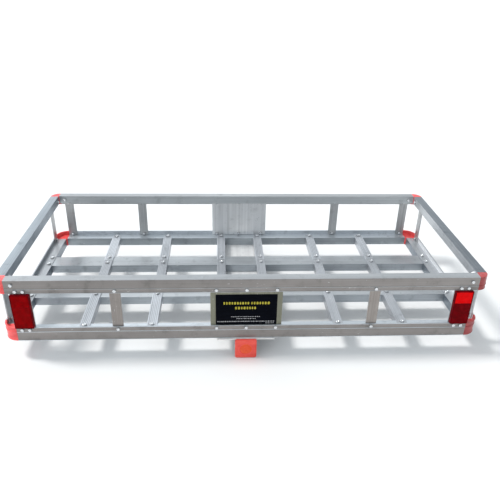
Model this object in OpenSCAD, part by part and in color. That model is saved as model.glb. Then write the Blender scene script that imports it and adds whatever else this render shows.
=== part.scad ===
// Hitch-mounted cargo carrier: a bolted aluminium basket on a square hitch tube.
// +X runs to the right along the basket, +Y along the hitch tube towards the vehicle, +Z up.
// The origin is the centre of the hitch pin bore.

/* [Basket] */
// Outside length of the basket, along X
basket_l = 1244.6; // [1150:0.1:1400]
// Outside width of the basket, along Y
basket_w = 571.5; // [520:0.1:640]
// Top of the upper ring above the underside of the lower ring
ring_h = 178; // [150:1:230]

/* [Rails] */
// Wall of every rail tube and deck beam
rail_wall = 2; // [1.6:0.1:2.5]
// Width and height of the upper rail tube
upper_tube = 26; // [24:1:30]
// Width of the lower rail tube, with its bead
lower_tube_w = 34; // [32:1:38]
// Height of the lower rail tube
lower_tube_h = 27; // [26:0.5:32]
// Height of the flange that hangs below the upper rail tube
upper_flange = 11.5; // [11:0.5:14]
// Height of the flange that stands on the lower rail tube
lower_flange = 13; // [11:0.5:16]
// Thickness of both flanges
flange_t = 3; // [2.5:0.5:4]
// Outside corner radius of the upper ring
upper_corner_r = 27.5; // [27:0.5:34]
// Outside corner radius of the lower ring
lower_corner_r = 38; // [35:0.5:42]

/* [Deck] */
// Width of the two long deck beams
beam_w = 56; // [50:1:64]
// Height of the deck beams
beam_h = 25.4; // [24:0.1:25.4]
// Distance between the centres of the two deck beams
beam_pitch = 184; // [170:1:190]
// Distance of the three slat lines from the middle of the deck
slat_lines = [62.5, 245.5, 419]; // [55:0.5:480]
// Width of a slat
slat_w = 27; // [26:1:32]
// Height of a slat's skirts below the rail tops
slat_skirt = 20; // [14:1:22]
// Length of the tab that a slat lays on a rail
slat_tab = 20; // [18:1:22]
// Length of the tab that a slat lays on a beam, short of the next slat's tab
beam_tab = 27.5; // [24:0.5:27.5]

/* [Uprights] */
// Width of a plain upright
upright_w = 28; // [22:1:30]
// Thickness of uprights and plates
upright_t = 3; // [2.5:0.5:4]
// Distance of the middle uprights from the centre
mid_upright_x = 328.5; // [300:0.5:350]
// Distance of the side uprights from the basket's outside edge
side_upright_in = 54.75; // [50:0.25:70]
// Width of the plates that carry the reflectors
reflector_plate_w = 49; // [46:1:52]
// Width of the sign plate and the front plate
centre_plate_w = 184; // [170:1:200]
// How far a reflector stands off its plate
reflector_t = 10; // [6:1:14]

/* [Hitch] */
// Outside width of the hitch tube
hitch_tube_w = 50.8; // [50.4:0.1:50.8]
// Wall of the hitch tube
hitch_wall = 5; // [4:0.5:6.5]
// How far the hitch tube reaches beyond the basket towards the vehicle
hitch_reach = 280; // [200:5:320]
// Distance of the pin bore from the end of the hitch tube
pin_setback = 70; // [60:1:90]
// Diameter of the bore for a 5/8 inch hitch pin
pin_bore = 16.3; // [16.1:0.1:16.7]
// Width of the mounting plate between the basket and the hitch tube
mount_plate_w = 152; // [140:1:170]
// Thickness of the mounting plate
mount_plate_t = 4; // [3:0.5:6]
// Width and height of the face of the end cap
cap_w = 57; // [55:1:60]
// Thickness of the face of the end cap
cap_t = 7.5; // [5:0.5:10]

/* [Hidden] */
$fn = 32;
eps = 0.01;

// Small extrusion details
bead = 1;
bead_h = 1.5;
lower_h = lower_tube_h + lower_flange;
upper_z = ring_h - upper_tube;
tongue_gap = 0.3;
tongue_l = 32;
corner_bolt_in = 18;

// Sizes across the deck
beam_y = beam_pitch / 2;
slat_top_t = 2.2;
slat_wall = 1.8;
slat_top = lower_tube_h + slat_top_t;
groove_w = 1.5;
groove_d = 0.6;
groove_pitch = 4.5;
grooves = 5;
deck_bolt_in = 10;
beam_bolt_y = 20;
beam_tongue_w = 48;
beam_tongue_in = 28;

// Uprights stand behind the flanges, between the two tubes
upright_gap = 0.5;
upright_z0 = lower_tube_h + upright_gap;
upright_z1 = upper_z - upright_gap;
flange_inner = bead + flange_t;
reflector_plate_x = basket_l / 2 - lower_corner_r - reflector_plate_w / 2;
reflector_bolt_x = 9.5;
side_upright_y = basket_w / 2 - side_upright_in;
corner_upright_x = basket_l / 2 - lower_corner_r - upright_w / 2;
plate_bolt_x = 76.5;
lower_bolt_z = lower_tube_h + (lower_flange - bead_h) / 2;
upper_bolt_z = upper_z - (upper_flange - bead_h) / 2;

// Sign plate and label
sign_rib_w = 3;
sign_rib_t = 1.5;
label_w = 157;
label_h = 91.5;
label_t = 0.6;
label_z = upright_z0 + 58.5;

// Hitch parts; the plate and tube end stand a little proud of the basket
plate_proud = 3;
tube_z = -mount_plate_t - hitch_tube_w / 2;
tube_back = -basket_w / 2 - plate_proud;
tube_front = basket_w / 2 + hitch_reach;
pin_y = tube_front - pin_setback;
hitch_bolt_pitch = 145;
access_bore = 26;
cap_gap = 0.3;
cap_plug = 24;
cap_wall = 2.5;
cap_round = 5;
cap_dish_r = 16;
cap_dish = 1.2;

// Fasteners: M5 through the flanges, M6 in the deck, M10 for the hitch tube
m5 = 5;
m6 = 6;
m10 = 10;
m5_hole = 5.5;
m6_hole = 6.6;
m10_hole = 11;
self_tap = 14;

// Positions of the flange bolts along one side, measured from its middle
function mirrored(list) = [for (s = [-1, 1]) for (v = list) s * v];
function flange_bolts_on(side) =
    side == "rear"
        ? concat([0], mirrored([plate_bolt_x, mid_upright_x,
                                reflector_plate_x - reflector_bolt_x,
                                reflector_plate_x + reflector_bolt_x]))
    : side == "front"
        ? concat([0], mirrored([plate_bolt_x, mid_upright_x, corner_upright_x]))
    : mirrored([side_upright_y]);

function side_length(side) = (side == "rear" || side == "front") ? basket_l : basket_w;
function slat_x(name) =
    (name[0] == "l" ? -1 : 1) * slat_lines[ord(name[1]) - ord("1")];

// Where a bay's slats begin and end, and the heights of what their tabs lie on
function bay_from(bay) =
    bay == "rear" ? -basket_w / 2 + lower_tube_w
    : bay == "mid" ? -beam_y + beam_w / 2
    : beam_y + beam_w / 2;
function bay_to(bay) =
    bay == "rear" ? -beam_y - beam_w / 2
    : bay == "mid" ? beam_y - beam_w / 2
    : basket_w / 2 - lower_tube_w;
function tab_from(bay) = bay == "rear" ? slat_tab : beam_tab;
function tab_to(bay) = bay == "front" ? slat_tab : beam_tab;
function seat_from(bay) = bay == "rear" ? lower_tube_h : beam_h;
function seat_to(bay) = bay == "front" ? lower_tube_h : beam_h;

// Rail section: a box tube with a flange on its outer face, u inwards and v upwards
function rail_outline(w, h, f, foot) = [
    [foot ? 0 : bead, 0], [w, 0], [w, h], [flange_inner, h], [flange_inner, h + f],
    [0, h + f], [0, h + f - bead_h], [bead, h + f - bead_h],
    [bead, h], [0, h], [0, h - bead_h], [bead, h - bead_h],
    each (foot ? [[bead, bead_h], [0, bead_h]] : [])
];

module lower_section(hollow) {
    difference() {
        polygon(rail_outline(lower_tube_w, lower_tube_h, lower_flange, true));
        if (hollow)
            translate([bead + rail_wall, rail_wall])
                square([lower_tube_w - bead - 2 * rail_wall, lower_tube_h - 2 * rail_wall]);
    }
}

module upper_section(hollow) {
    translate([0, ring_h])
        mirror([0, 1])
            difference() {
                polygon(rail_outline(upper_tube, upper_tube, upper_flange, false));
                if (hollow)
                    translate([bead + rail_wall, rail_wall])
                        square([upper_tube - bead - 2 * rail_wall, upper_tube - 2 * rail_wall]);
            }
}

// The basket's middle, at the underside of the lower ring, from the pin bore
module in_basket() {
    translate([0, -pin_y, -tube_z])
        children();
}

// Local frame of one side of the basket: x along it, y inwards from its outer face
module on_side(side) {
    if (side == "rear")
        translate([0, -basket_w / 2, 0])
            children();
    if (side == "front")
        translate([0, basket_w / 2, 0])
            mirror([0, 1, 0])
                children();
    if (side == "left")
        translate([-basket_l / 2, 0, 0])
            mirror([1, -1, 0])
                children();
    if (side == "right")
        translate([basket_l / 2, 0, 0])
            mirror([1, 0, 0])
                mirror([1, -1, 0])
                    children();
}

module at_corner(x_sign, y_sign) {
    translate([x_sign * basket_l / 2, y_sign * basket_w / 2, 0])
        turned_to_corner(x_sign, y_sign)
            children();
}

// Turns a corner drawn towards -X and -Y into any of the four
module turned_to_corner(x_sign, y_sign) {
    if (x_sign > 0 && y_sign > 0)
        children();
    if (x_sign < 0 && y_sign > 0)
        mirror([1, 0, 0])
            children();
    if (x_sign > 0 && y_sign < 0)
        mirror([0, 1, 0])
            children();
    if (x_sign < 0 && y_sign < 0)
        rotate([0, 0, 180])
            children();
}

module along_x(length) {
    translate([-length / 2, 0, 0])
        rotate([90, 0, 90])
            linear_extrude(length)
                children();
}

module hole_inwards(x, z, d, from, to) {
    translate([x, from, z])
        rotate([-90, 0, 0])
            cylinder(d = d, h = to - from);
}

module hole_upwards(x, y, z0, z1, d) {
    translate([x, y, z0])
        cylinder(d = d, h = z1 - z0);
}

// Hexagonal head or nut, across flats, standing on z = 0
module hex(across, h) {
    cylinder(d = across / cos(30), h = h, $fn = 6);
}

module upper_rail(side) {
    corner = upper_corner_r;
    length = side_length(side) - 2 * corner;
    color("silver")
        in_basket()
            on_side(side)
                difference() {
                    along_x(length)
                        upper_section(true);
                    for (x = flange_bolts_on(side))
                        hole_inwards(x, upper_bolt_z, m5_hole, -1, flange_inner + 1);
                    for (s = [-1, 1])
                        hole_inwards(s * (length / 2 - corner_bolt_in), ring_h - upper_tube / 2,
                                     m5_hole, -1, upper_tube + 1);
                }
}

module lower_rail(side) {
    corner = lower_corner_r;
    length = side_length(side) - 2 * corner;
    long_side = side == "rear" || side == "front";
    color("silver")
        in_basket()
            on_side(side)
                difference() {
                    along_x(length)
                        lower_section(true);
                    for (x = flange_bolts_on(side))
                        hole_inwards(x, lower_bolt_z, m5_hole, -1, flange_inner + 1);
                    for (s = [-1, 1])
                        hole_upwards(s * (length / 2 - corner_bolt_in), lower_tube_w / 2,
                                     -1, rail_wall + 1, m5_hole);
                    if (long_side)
                        slat_holes_in_rail();
                    else
                        beam_windows();
                }
}

// Slat screws go through the rail's top; the central ones go on through the plate
module slat_holes_in_rail() {
    y = lower_tube_w - deck_bolt_in;
    for (x = mirrored(slat_lines))
        hole_upwards(x, y, lower_tube_h - rail_wall - 1, lower_tube_h + 1, m6_hole);
    for (x = mirrored([slat_lines[0]]))
        hole_upwards(x, y, -1, rail_wall + 1, m6_hole);
}

// Windows in a side rail's inner wall where the beam tongues enter, with their screw holes
module beam_windows() {
    h = beam_h - 2 * rail_wall;
    for (y = [-beam_y, beam_y]) {
        translate([y - beam_tongue_w / 2 - tongue_gap, lower_tube_w - rail_wall - 1, rail_wall])
            cube([beam_tongue_w + 2 * tongue_gap, rail_wall + 2, h]);
        for (s = [-1, 1])
            hole_upwards(y + s * beam_bolt_y, lower_tube_w - deck_bolt_in,
                         lower_tube_h - rail_wall - 1, lower_tube_h + 1, m6_hole);
    }
}

// A moulded corner: the rail section turned through a quarter, with a tongue into each tube
module corner_turn(r) {
    translate([-r, -r, 0])
        rotate_extrude(angle = 90, $fn = 96)
            translate([r, 0])
                mirror([1, 0])
                    children();
}

module upper_corner(x_sign, y_sign) {
    r = upper_corner_r;
    inset = bead + rail_wall + tongue_gap;
    side = upper_tube - bead - 2 * (rail_wall + tongue_gap);
    z = upper_z + rail_wall + tongue_gap;
    mid_z = ring_h - upper_tube / 2;
    color("tomato")
        in_basket()
            at_corner(x_sign, y_sign)
                difference() {
                    union() {
                        corner_turn(r)
                            upper_section(false);
                        translate([-r - tongue_l, -inset - side, z])
                            cube([tongue_l + 1, side, upper_tube - 2 * (rail_wall + tongue_gap)]);
                        translate([-inset - side, -r - tongue_l, z])
                            cube([side, tongue_l + 1, upper_tube - 2 * (rail_wall + tongue_gap)]);
                    }
                    translate([-r - corner_bolt_in, 1, mid_z])
                        rotate([90, 0, 0])
                            cylinder(d = m5_hole, h = upper_tube + 2);
                    translate([1, -r - corner_bolt_in, mid_z])
                        rotate([0, -90, 0])
                            cylinder(d = m5_hole, h = upper_tube + 2);
                }
}

module lower_corner(x_sign, y_sign) {
    r = lower_corner_r;
    inset = bead + rail_wall + tongue_gap;
    side = lower_tube_w - bead - 2 * (rail_wall + tongue_gap);
    z = rail_wall + tongue_gap;
    h = lower_tube_h - 2 * z;
    color("tomato")
        in_basket()
            at_corner(x_sign, y_sign)
                difference() {
                    union() {
                        corner_turn(r)
                            lower_section(false);
                        translate([-r - tongue_l, -inset - side, z])
                            cube([tongue_l + 1, side, h]);
                        translate([-inset - side, -r - tongue_l, z])
                            cube([side, tongue_l + 1, h]);
                    }
                    hole_upwards(-r - corner_bolt_in, -lower_tube_w / 2, 0, self_tap, m5_hole);
                    hole_upwards(-lower_tube_w / 2, -r - corner_bolt_in, 0, self_tap, m5_hole);
                }
}

// Long box beam between the side rails
module deck_beam(y) {
    length = basket_l - 2 * lower_tube_w;
    color("silver")
        in_basket()
            translate([0, y, 0])
                difference() {
                    along_x(length)
                        difference() {
                            translate([-beam_w / 2, 0])
                                square([beam_w, beam_h]);
                            translate([-beam_w / 2 + rail_wall, rail_wall])
                                square([beam_w - 2 * rail_wall, beam_h - 2 * rail_wall]);
                        }
                    for (x = mirrored(slat_lines), s = [-1, 1])
                        hole_upwards(x, s * (beam_w / 2 - deck_bolt_in), beam_h - rail_wall - 1,
                                     beam_h + 1, m6_hole);
                    for (x = mirrored([slat_lines[0]]), s = [-1, 1])
                        hole_upwards(x, s * (beam_w / 2 - deck_bolt_in), -1,
                                     rail_wall + 1, m6_hole);
                }
}

// Solid tongues that join the beams' ends to the side rails
module beam_end_tongues() {
    x0 = basket_l / 2 - lower_tube_w - beam_tongue_in;
    x1 = basket_l / 2 - bead - rail_wall - tongue_gap;
    h = beam_h - 2 * (rail_wall + tongue_gap);
    color("gray")
        in_basket()
            for (s = [-1, 1], y = [-beam_y, beam_y])
                difference() {
                    translate([s > 0 ? x0 : -x1, y - beam_tongue_w / 2, rail_wall + tongue_gap])
                        cube([x1 - x0, beam_tongue_w, h]);
                    for (t = [-1, 1])
                        hole_upwards(s * (basket_l / 2 - lower_tube_w + deck_bolt_in),
                                     y + t * beam_bolt_y, 0, beam_h, m6_hole);
                }
}

// Slat section: a channel, open below, with grooves along its top
module slat_section() {
    difference() {
        translate([-slat_w / 2, lower_tube_h - slat_skirt])
            square([slat_w, slat_skirt + slat_top_t]);
        translate([-slat_w / 2 + slat_wall, lower_tube_h - slat_skirt - 1])
            square([slat_w - 2 * slat_wall, slat_skirt + 1]);
        for (i = [0 : grooves - 1])
            translate([(i - (grooves - 1) / 2) * groove_pitch - groove_w / 2, slat_top - groove_d])
                square([groove_w, groove_d + 1]);
    }
}

module slat(bay, line) {
    y0 = bay_from(bay) - tab_from(bay);
    y1 = bay_to(bay) + tab_to(bay);
    length = y1 - y0;
    color("lightgray")
        in_basket()
            translate([slat_x(line), y0, 0])
                difference() {
                    translate([0, length, 0])
                        rotate([90, 0, 0])
                            linear_extrude(length)
                                slat_section();
                    translate([-slat_w, -1, -1])
                        cube([2 * slat_w, tab_from(bay) + 1, seat_from(bay) + 1]);
                    translate([-slat_w, length - tab_to(bay), -1])
                        cube([2 * slat_w, tab_to(bay) + 1, seat_to(bay) + 1]);
                    for (y = [tab_from(bay) - deck_bolt_in, length - tab_to(bay) + deck_bolt_in])
                        hole_upwards(0, y, 0, slat_top + 1, m6_hole);
                }
}

// Flat strip or plate behind both flanges, with its bolt holes
module upright_strip(side, x, width, bolts) {
    color("silver")
        in_basket()
            on_side(side)
                difference() {
                    translate([x - width / 2, flange_inner, upright_z0])
                        cube([width, upright_t, upright_z1 - upright_z0]);
                    for (b = bolts, z = [lower_bolt_z, upper_bolt_z])
                        hole_inwards(b, z, m5_hole, flange_inner - 1, flange_inner + upright_t + 1);
                }
}

module plain_upright(side, x) {
    upright_strip(side, x, upright_w, [x]);
}

module reflector_plate(s) {
    x = s * reflector_plate_x;
    upright_strip("rear", x, reflector_plate_w, [x - reflector_bolt_x, x + reflector_bolt_x]);
}

// Moulded reflector: a rounded box between the two flanges
module reflector(s) {
    gap = 0.5;
    z0 = lower_h + gap;
    z1 = upper_z - upper_flange - gap;
    w = reflector_plate_w - 1;
    r = 3;
    color("red")
        in_basket()
            on_side("rear")
                translate([s * reflector_plate_x, flange_inner, (z0 + z1) / 2])
                    rotate([90, 0, 0])
                        rounded_block(w, z1 - z0, r, reflector_t);
}

// Block with four true round corners, standing on z = 0
module rounded_block(w, h, r, t) {
    for (size = [[w - 2 * r, h], [w, h - 2 * r]])
        translate([-size[0] / 2, -size[1] / 2, 0])
            cube([size[0], size[1], t]);
    for (x = [-1, 1], y = [-1, 1])
        translate([x * (w / 2 - r), y * (h / 2 - r), 0])
            cylinder(r = r, h = t);
}

module sign_plate() {
    rib_x = label_w / 2 + 1;
    upright_strip("rear", 0, centre_plate_w, [-plate_bolt_x, 0, plate_bolt_x]);
    color("silver")
        in_basket()
            on_side("rear")
                for (s = [-1, 1])
                    translate([s * (rib_x + sign_rib_w / 2) - sign_rib_w / 2,
                               flange_inner - sign_rib_t, lower_h + 1])
                        cube([sign_rib_w, sign_rib_t + 1, upper_z - upper_flange - lower_h - 2]);
}

module sign_label() {
    color("black")
        in_basket()
            on_side("rear")
                translate([-label_w / 2, flange_inner - label_t, label_z - label_h / 2])
                    cube([label_w, label_t, label_h]);
}

module front_plate() {
    upright_strip("front", 0, centre_plate_w, [-plate_bolt_x, 0, plate_bolt_x]);
}

module hitch_mount_plate() {
    length = 2 * -tube_back;
    color("silver")
        in_basket()
            difference() {
                translate([-mount_plate_w / 2, tube_back, -mount_plate_t])
                    cube([mount_plate_w, length, mount_plate_t]);
                for (x = mirrored([slat_lines[0]]), y = through_bolt_y())
                    hole_upwards(x, y, -mount_plate_t - 1, 1, m6_hole);
                for (i = [-1 : 1])
                    hole_upwards(0, i * hitch_bolt_pitch, -mount_plate_t - 1, 1, m10_hole);
            }
}

// Rows of the through-bolts that hold the plate to the rails and beams
function through_bolt_y() =
    mirrored([basket_w / 2 - lower_tube_w + deck_bolt_in,
              beam_y - beam_w / 2 + deck_bolt_in,
              beam_y + beam_w / 2 - deck_bolt_in]);

module hitch_tube() {
    length = tube_front - tube_back;
    inner = hitch_tube_w - 2 * hitch_wall;
    color("silver")
        in_basket()
            difference() {
                translate([-hitch_tube_w / 2, tube_back, tube_z - hitch_tube_w / 2])
                    cube([hitch_tube_w, length, hitch_tube_w]);
                translate([-inner / 2, tube_back - 1, tube_z - inner / 2])
                    cube([inner, length + 2, inner]);
                translate([-hitch_tube_w, pin_y, tube_z])
                    rotate([0, 90, 0])
                        cylinder(d = pin_bore, h = 2 * hitch_tube_w);
                for (i = [-1 : 1]) {
                    hole_upwards(0, i * hitch_bolt_pitch, tube_z, 1, m10_hole);
                    hole_upwards(0, i * hitch_bolt_pitch, tube_z - hitch_tube_w, tube_z,
                                 access_bore);
                }
            }
}

// End cap: a rounded face with a shallow round dish, and a hollow plug inside the tube
module hitch_tube_cap() {
    plug = hitch_tube_w - 2 * (hitch_wall + cap_gap);
    color("tomato")
        in_basket()
            translate([0, tube_back, tube_z])
                rotate([90, 0, 0])
                    difference() {
                        union() {
                            rounded_block(cap_w, cap_w, cap_round, cap_t);
                            translate([-plug / 2, -plug / 2, -cap_plug])
                                cube([plug, plug, cap_plug + 1]);
                        }
                        translate([0, 0, cap_t - cap_dish])
                            cylinder(r = cap_dish_r, h = cap_dish + 1);
                        translate([-plug / 2 + cap_wall, -plug / 2 + cap_wall, -cap_plug - 1])
                            cube([plug - 2 * cap_wall, plug - 2 * cap_wall, cap_plug + 1]);
                    }
}

// Bolt along +Z from its head's seat at z = 0, with a nut that starts at nut_at
module bolt(d, across, head_h, length, nut_at = 0, nut_h = 0) {
    translate([0, 0, -head_h])
        hex(across, head_h);
    translate([0, 0, -eps])
        cylinder(d = d, h = length);
    if (nut_h > 0)
        translate([0, 0, nut_at])
            hex(across, nut_h);
}

module m5_bolt(grip) {
    bolt(m5, 8, 3.5, grip + 6, grip, 4);
}

// M5 bolts and nuts of the uprights, plates and upper corners, and the lower corners' screws
module frame_bolts() {
    grip = flange_inner + upright_t - bead;
    color("whitesmoke")
        in_basket()
            for (side = ["rear", "front", "left", "right"])
                on_side(side) {
                    for (x = flange_bolts_on(side), z = [lower_bolt_z, upper_bolt_z])
                        translate([x, bead, z])
                            rotate([-90, 0, 0])
                                m5_bolt(grip);
                    corner_bolts(side);
                }
}

module corner_bolts(side) {
    upper_x = side_length(side) / 2 - upper_corner_r - corner_bolt_in;
    lower_x = side_length(side) / 2 - lower_corner_r - corner_bolt_in;
    for (s = [-1, 1]) {
        translate([s * upper_x, bead, ring_h - upper_tube / 2])
            rotate([-90, 0, 0])
                m5_bolt(upper_tube - bead);
        translate([s * lower_x, lower_tube_w / 2, 0])
            bolt(m5, 8, 3.5, self_tap - 2);
    }
}

// M6 screws of the outer slats and of the beam ends
module deck_bolts() {
    color("whitesmoke")
        in_basket() {
            for (x = mirrored([slat_lines[1], slat_lines[2]]), y = through_bolt_y())
                translate([x, y, slat_top])
                    mirror([0, 0, 1])
                        bolt(m6, 10, 4.2, self_tap);
            for (sx = [-1, 1], y = [-beam_y, beam_y], t = [-1, 1])
                translate([sx * (basket_l / 2 - lower_tube_w + deck_bolt_in),
                           y + t * beam_bolt_y, lower_tube_h])
                    mirror([0, 0, 1])
                        bolt(m6, 10, 4.2, self_tap + 6);
        }
}

// Long M6 bolts through the central slats and the plate, and the hitch tube's M10 bolts
module hitch_plate_bolts() {
    grip = slat_top + mount_plate_t;
    color("whitesmoke")
        in_basket() {
            for (x = mirrored([slat_lines[0]]), y = through_bolt_y())
                translate([x, y, slat_top])
                    mirror([0, 0, 1])
                        bolt(m6, 10, 4.2, grip + 7, grip, 5);
            for (i = [-1 : 1])
                mirror([0, 0, 1])
                    translate([0, i * hitch_bolt_pitch, 0])
                        bolt(m10, 16, 6.4, mount_plate_t + hitch_wall + 11,
                             mount_plate_t + hitch_wall, 8);
        }
}

upper_rail("rear");  // upper_rail_rear
upper_rail("front");  // upper_rail_front
upper_rail("left");  // upper_rail_left
upper_rail("right");  // upper_rail_right
lower_rail("rear");  // lower_rail_rear
lower_rail("front");  // lower_rail_front
lower_rail("left");  // lower_rail_left
lower_rail("right");  // lower_rail_right
upper_corner(-1, -1);  // upper_corner_rear_left
upper_corner(1, -1);  // upper_corner_rear_right
upper_corner(-1, 1);  // upper_corner_front_left
upper_corner(1, 1);  // upper_corner_front_right
lower_corner(-1, -1);  // lower_corner_rear_left
lower_corner(1, -1);  // lower_corner_rear_right
lower_corner(-1, 1);  // lower_corner_front_left
lower_corner(1, 1);  // lower_corner_front_right
deck_beam(-beam_y);  // deck_beam_rear
deck_beam(beam_y);  // deck_beam_front
beam_end_tongues();
slat("rear", "l3");  // slat_rear_l3
slat("rear", "l2");  // slat_rear_l2
slat("rear", "l1");  // slat_rear_l1
slat("rear", "r1");  // slat_rear_r1
slat("rear", "r2");  // slat_rear_r2
slat("rear", "r3");  // slat_rear_r3
slat("mid", "l3");  // slat_mid_l3
slat("mid", "l2");  // slat_mid_l2
slat("mid", "l1");  // slat_mid_l1
slat("mid", "r1");  // slat_mid_r1
slat("mid", "r2");  // slat_mid_r2
slat("mid", "r3");  // slat_mid_r3
slat("front", "l3");  // slat_front_l3
slat("front", "l2");  // slat_front_l2
slat("front", "l1");  // slat_front_l1
slat("front", "r1");  // slat_front_r1
slat("front", "r2");  // slat_front_r2
slat("front", "r3");  // slat_front_r3
plain_upright("rear", -mid_upright_x);  // upright_rear_left
plain_upright("rear", mid_upright_x);  // upright_rear_right
plain_upright("front", -mid_upright_x);  // upright_front_left
plain_upright("front", mid_upright_x);  // upright_front_right
plain_upright("front", -corner_upright_x);  // upright_front_corner_left
plain_upright("front", corner_upright_x);  // upright_front_corner_right
plain_upright("left", -side_upright_y);  // upright_left_rear
plain_upright("left", side_upright_y);  // upright_left_front
plain_upright("right", -side_upright_y);  // upright_right_rear
plain_upright("right", side_upright_y);  // upright_right_front
reflector_plate(-1);  // reflector_plate_left
reflector_plate(1);  // reflector_plate_right
reflector(-1);  // reflector_left
reflector(1);  // reflector_right
sign_plate();
sign_label();
front_plate();
hitch_mount_plate();
hitch_tube();
hitch_tube_cap();
frame_bolts();
deck_bolts();
hitch_plate_bolts();
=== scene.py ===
import bpy
import bmesh
import math
import random
from mathutils import Euler, Matrix, Vector


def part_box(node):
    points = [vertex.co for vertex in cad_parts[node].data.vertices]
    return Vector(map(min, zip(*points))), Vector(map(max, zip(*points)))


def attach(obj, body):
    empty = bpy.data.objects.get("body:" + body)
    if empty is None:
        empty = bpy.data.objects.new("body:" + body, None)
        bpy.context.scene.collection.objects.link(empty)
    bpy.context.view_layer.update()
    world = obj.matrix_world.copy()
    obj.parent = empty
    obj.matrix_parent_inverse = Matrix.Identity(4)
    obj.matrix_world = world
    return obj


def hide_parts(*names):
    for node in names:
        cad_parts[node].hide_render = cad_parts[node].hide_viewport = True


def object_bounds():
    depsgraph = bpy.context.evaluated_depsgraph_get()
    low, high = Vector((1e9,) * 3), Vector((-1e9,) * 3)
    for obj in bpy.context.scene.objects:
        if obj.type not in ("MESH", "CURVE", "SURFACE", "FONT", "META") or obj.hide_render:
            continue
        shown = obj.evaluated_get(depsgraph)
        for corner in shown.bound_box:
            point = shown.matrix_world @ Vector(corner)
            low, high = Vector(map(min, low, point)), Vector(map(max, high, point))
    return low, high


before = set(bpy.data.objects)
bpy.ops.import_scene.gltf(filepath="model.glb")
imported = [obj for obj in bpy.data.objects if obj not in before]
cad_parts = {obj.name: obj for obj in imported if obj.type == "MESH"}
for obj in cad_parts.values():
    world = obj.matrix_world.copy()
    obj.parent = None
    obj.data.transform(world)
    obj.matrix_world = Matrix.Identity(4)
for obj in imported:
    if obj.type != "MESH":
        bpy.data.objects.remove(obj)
cad_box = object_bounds()

MM = 0.001
WELD = 1e-6
rng = random.Random(7)

# ---------------------------------------- sizes, in metres
FLANGE_T = 3 * MM
BEAD = 1 * MM
BEAD_H = 1.5 * MM
LOWER_FLANGE = 13 * MM
RAIL_WALL = 2 * MM
SLAT_TOP_T = 2.2 * MM
SLAT_WALL = 1.8 * MM
SLAT_EDGE = 0.35 * MM
SLAT_COPE = 0.7 * MM
GROOVED_HALF = 12 * MM
GROOVE_W = 1.5 * MM
GROOVE_D = 0.6 * MM
GROOVE_PITCH = 4.5 * MM
GROOVES = 5
CORNER_BOLT_IN = 18 * MM
DECK_BOLT_IN = 10 * MM
BEAM_SCREW_Y = 20 * MM
REFLECTOR_BOLT_X = 9.5 * MM
PLATE_BOLT_X = 76.5 * MM
FLAT_WITHIN = 0.1 * MM
SLAT_TAB = 20 * MM
BEAM_TAB = 27.5 * MM
TUBE_WALL = 5 * MM
ACCESS_BORE = 26 * MM
PIN_BORE = 16.3 * MM
HITCH_BOLT_PITCH = 145 * MM
TONGUE_GAP = 0.3 * MM
TONGUE_EDGE = 1.5 * MM
CORNER_STEPS = 18
TUBE_EDGE = 0.4 * MM
TUBE_INNER_R = 0.6 * MM
SHEET_EDGE = 0.5 * MM
SHEET_R = 1.5 * MM
STRIP_R = 0.8 * MM
LABEL_FILM = 0.12 * MM
LENS_RIM = 2.2 * MM
LENS_SINK = 1.1 * MM
LENS_GAP = 0.6 * MM
UPPER_LENS_SHARE = 0.36
PRISM_COLUMNS, PRISM_ROWS, PRISM_H = 14, 11, 0.5 * MM
LENS_RIBS, LENS_RIB_H = 22, 0.55 * MM
CAP_WALL = 2.5 * MM
CAP_EDGE = 2.2 * MM
HEAD_SIDES, SHANK_SIDES, BORE_SIDES, CAP_SIDES = 36, 20, 48, 96

# the screws' lengths, and how far the bolts reach beyond their nuts
SCREW_LENGTH = {"corner": 12 * MM, "slat": 14 * MM, "beam": 20 * MM}
BEYOND_NUT = {"frame": 2 * MM, "slat": 2 * MM, "tube": 3 * MM}

# diameter, across flats, height of the head and height of the nut
M5 = (5 * MM, 8 * MM, 3.5 * MM, 4 * MM)
M6 = (6 * MM, 10 * MM, 4.2 * MM, 5 * MM)
M10 = (10 * MM, 16 * MM, 6.4 * MM, 8 * MM)

# radius and depth in mm, from the cap's edge to its centre: the raised ring, then the dish
CAP_RING = ((20.0, 0.0), (19.3, -0.15), (18.8, -0.55), (18.2, -0.7), (17.4, -0.7),
            (16.8, -0.55), (16.4, -0.1), (16.0, 0.6), (15.4, 0.9))
CAP_DISH = ((13.0, 0.95), (11.6, 0.9), (11.0, 0.5), (10.4, 0.2), (9.6, 0.1), (8.8, 0.2),
            (8.2, 0.55), (6.0, 0.5), (3.0, 0.25), (1.2, 0.2))

# each line of the label: its level and its height as shares of the label's height, its spans as
# shares of the width, the shortest and longest dash and the gap in mm, and the index of its ink
LABEL_LINES = (
    (0.715, 0.085, ((0.125, 0.545), (0.575, 0.90)), (3.6, 5.6), 2.6, 1),
    (0.555, 0.085, ((0.315, 0.70),), (3.6, 5.6), 2.6, 1),
    (0.265, 0.024, ((0.25, 0.75),), (1.4, 4.0), 2.0, 2),
    (0.200, 0.024, ((0.34, 0.66),), (1.4, 4.0), 2.0, 2),
    (0.105, 0.030, ((0.025, 0.965),), (1.4, 4.0), 1.8, 2),
    (0.045, 0.020, ((0.82, 0.97),), (1.4, 4.0), 1.8, 2),
)

rear_lo, rear_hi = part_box("upper_rail_rear")
foot_lo, foot_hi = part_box("lower_rail_rear")

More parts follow.
